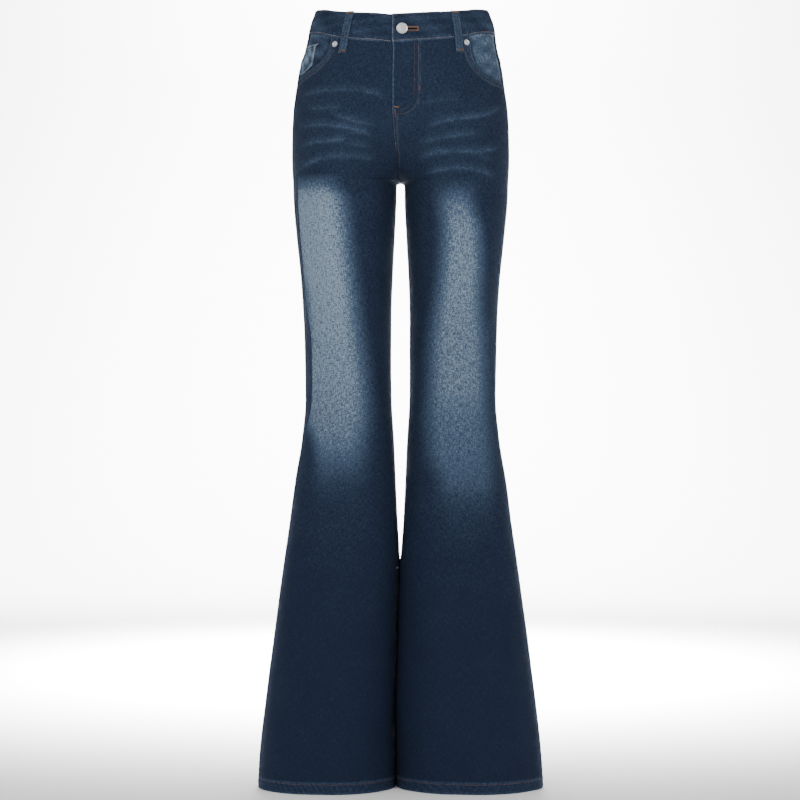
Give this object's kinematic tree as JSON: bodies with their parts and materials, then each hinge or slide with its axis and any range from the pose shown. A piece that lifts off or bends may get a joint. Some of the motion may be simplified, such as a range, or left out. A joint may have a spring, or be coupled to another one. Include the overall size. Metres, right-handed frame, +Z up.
{
  "type": "flared jeans",
  "caption": "Low-rise flared denim jeans, hollow and upright as if worn, with a waist button, scooped front pockets and long wide legs.",
  "frame": {"origin": "middle of the waist opening, within the waistband, where the wearer's waist holds the jeans", "axes": "+Z up, +X towards the wearer's left leg, the front of the jeans faces -Y"},
  "size_m": [0.4022, 0.2259, 1.1034],
  "materials": {
    "front_denim": "mid to dark indigo twill, faded down the thighs",
    "back_denim": "dark indigo twill",
    "band_denim": "indigo twill, worn at the edges",
    "facing_denim": "lighter, rubbed indigo twill",
    "worn_denim": "whitish, worn indigo twill",
    "fly_cloth": "plain dark twill and tape",
    "silver_metal": "satin silver"
  },
  "bodies": {
    "root": {"front_left": "front_denim", "front_right": "front_denim", "back_left": "back_denim", "back_right": "back_denim", "yoke_left": "back_denim", "yoke_right": "back_denim", "pocket_facing_left": "facing_denim", "pocket_facing_right": "facing_denim", "back_pocket_left": "back_denim", "back_pocket_right": "back_denim", "coin_pocket": "worn_denim", "waistband": "band_denim", "belt_loop_front_right": "band_denim", "belt_loop_front_left": "band_denim", "belt_loop_side_right": "band_denim", "belt_loop_side_left": "band_denim", "belt_loop_back": "band_denim", "fly_shield": "fly_cloth", "zip_tape": "fly_cloth", "zip_slider": "silver_metal", "button": "silver_metal", "rivet_left": "silver_metal", "rivet_right": "silver_metal"}
  },
  "joints": []
}
